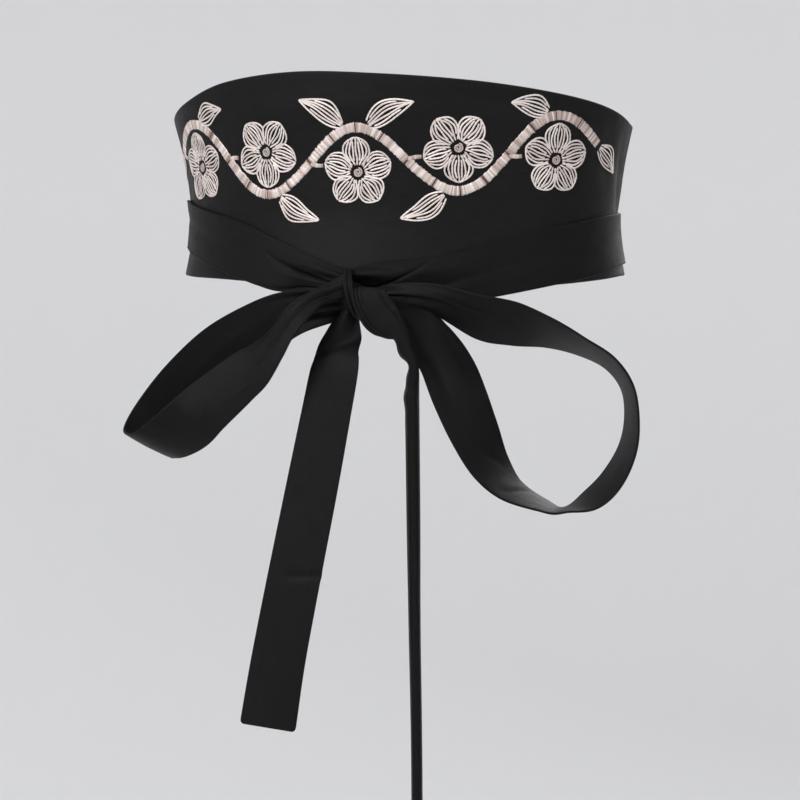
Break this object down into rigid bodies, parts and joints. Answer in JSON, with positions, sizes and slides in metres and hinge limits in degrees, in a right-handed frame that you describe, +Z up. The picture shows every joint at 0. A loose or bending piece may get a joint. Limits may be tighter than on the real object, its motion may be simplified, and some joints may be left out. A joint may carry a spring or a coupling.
{
  "type": "hanfu waist sash",
  "caption": "Wide shaped waist sash of black satin with embroidered front, worn round, its long ties crossed behind and knotted in a front bow.",
  "frame": {"origin": "middle of the wearer's waist, at the height where the sash is narrowest", "axes": "+Z up, the wearer faces -Y, +X is the wearer's left"},
  "size_m": [0.3201, 0.2577, 0.466],
  "materials": {
    "sash_cloth": "black satin with a soft low sheen",
    "embroidery_thread": "pale rose-gold satin stitch and couched thread"
  },
  "bodies": {
    "root": {"waist_panel": "sash_cloth", "tie_left_wrap": "sash_cloth", "tie_right_wrap": "sash_cloth", "bow_loop_left": "sash_cloth", "bow_loop_right": "sash_cloth", "tail_left": "sash_cloth", "tail_right": "sash_cloth", "knot_band": "sash_cloth", "knot": "sash_cloth"}
  },
  "joints": []
}
